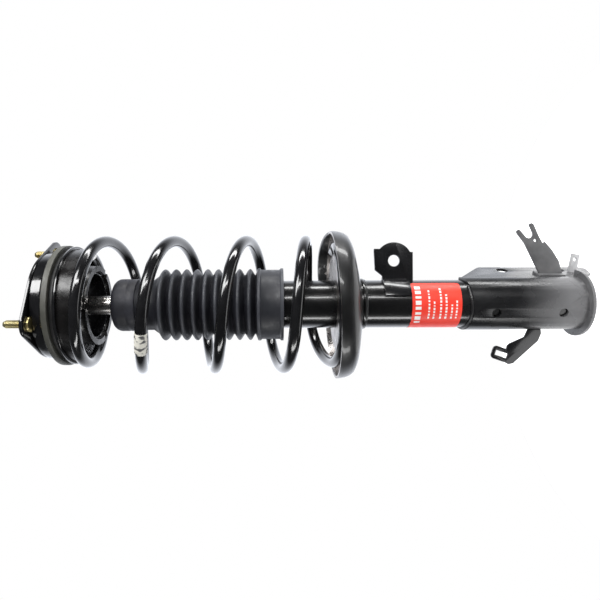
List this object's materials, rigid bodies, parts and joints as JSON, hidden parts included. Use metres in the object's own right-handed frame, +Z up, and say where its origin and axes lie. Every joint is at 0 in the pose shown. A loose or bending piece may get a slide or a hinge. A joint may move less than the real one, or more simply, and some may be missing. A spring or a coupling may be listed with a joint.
{
  "type": "suspension strut assembly",
  "caption": "Loaded suspension strut with top mount and bearing, coil spring on two seats, bump stop, folded dust boot, damper, knuckle bracket and small brackets.",
  "frame": {"origin": "strut axis at the top mount's upper face, which meets the body shell", "axes": "+Z up the strut axis towards the body shell, +Y towards the wheel knuckle's ears, +X along the knuckle bolts"},
  "size_m": [0.1575, 0.1576, 0.6204],
  "materials": {
    "black_paint": "gloss black coat over pressed steel",
    "tube_paint": "gloss black coat over drawn tube and pressed seat",
    "bracket_paint": "gloss black coat over pressed steel",
    "weld_paint": "painted weld bead",
    "grey_paint": "grey coat, semi-matt",
    "light_grey_paint": "light grey coat, semi-matt",
    "spring_paint": "gloss black coat over spring steel",
    "yellow_zinc": "yellow passivated zinc plate",
    "zinc": "zinc plate",
    "drawn_steel": "drawn bright",
    "bearing_steel": "polished",
    "chrome": "hard chrome, ground and polished",
    "sintered_iron": "sintered, oiled",
    "bush_bronze": "sintered bronze, smooth",
    "mount_rubber": "moulded, matt",
    "seat_rubber": "moulded, matt",
    "seal_rubber": "moulded, satin",
    "bump_foam": "micro-cellular elastomer, matt and mottled",
    "boot_rubber": "moulded folds, matt",
    "race_plastic": "moulded, matt",
    "race_dark": "moulded, matt",
    "stop_plastic": "moulded",
    "guide_plastic": "low-friction band",
    "tag_paper": "paper strip",
    "label_film": "printed film"
  },
  "bodies": {
    "top_mount": {"mount_plate": "black_paint", "mount_housing": "black_paint", "mount_studs": "yellow_zinc", "mount_rubber": "mount_rubber", "mount_sleeve": "zinc", "upper_washer": "zinc", "lower_washer": "zinc", "rod_nut": "yellow_zinc", "bearing_upper_race": "race_plastic", "bearing_balls": "bearing_steel", "piston_rod": "chrome", "rebound_stop": "stop_plastic", "piston": "sintered_iron", "piston_band": "guide_plastic", "rebound_valve": "zinc", "compression_valve": "zinc", "piston_nut": "zinc"},
    "spring_seat": {"bearing_lower_race": "race_dark", "upper_spring_seat": "black_paint", "upper_isolator": "seat_rubber", "coil_spring": "spring_paint", "spring_tag": "tag_paper"},
    "bumper": {"bump_stop": "bump_foam", "dust_boot": "boot_rubber"},
    "tube": {"outer_tube": "tube_paint", "base_cap": "tube_paint", "pressure_tube": "drawn_steel", "rod_guide": "sintered_iron", "guide_bush": "bush_bronze", "rod_seal": "seal_rubber", "base_valve": "sintered_iron", "lower_spring_seat": "tube_paint", "seat_collar": "tube_paint", "lower_isolator": "seat_rubber", "knuckle_bracket": "bracket_paint", "bracket_welds": "weld_paint", "link_bracket": "bracket_paint", "hose_bracket": "grey_paint", "wire_clip_tab": "light_grey_paint", "sensor_bracket": "bracket_paint", "label": "label_film"}
  },
  "joints": [
    {"name": "steer", "type": "hinge", "parent": "top_mount", "child": "spring_seat", "pos_m": [0, 0, -0.0236], "axis": [0, 0, 1], "continuous": true},
    {"name": "stroke", "type": "slide", "parent": "spring_seat", "child": "tube", "axis": [0, 0, 1], "range_m": [0, 0.11], "stiffness_N_per_m": 22000, "springref_m": -0.055, "deforming": ["coil_spring", "spring_tag", "dust_boot"]},
    {"name": "bumper_slide", "type": "slide", "parent": "top_mount", "child": "bumper", "axis": [0, 0, 1], "range_m": [0, 0.046]}
  ]
}
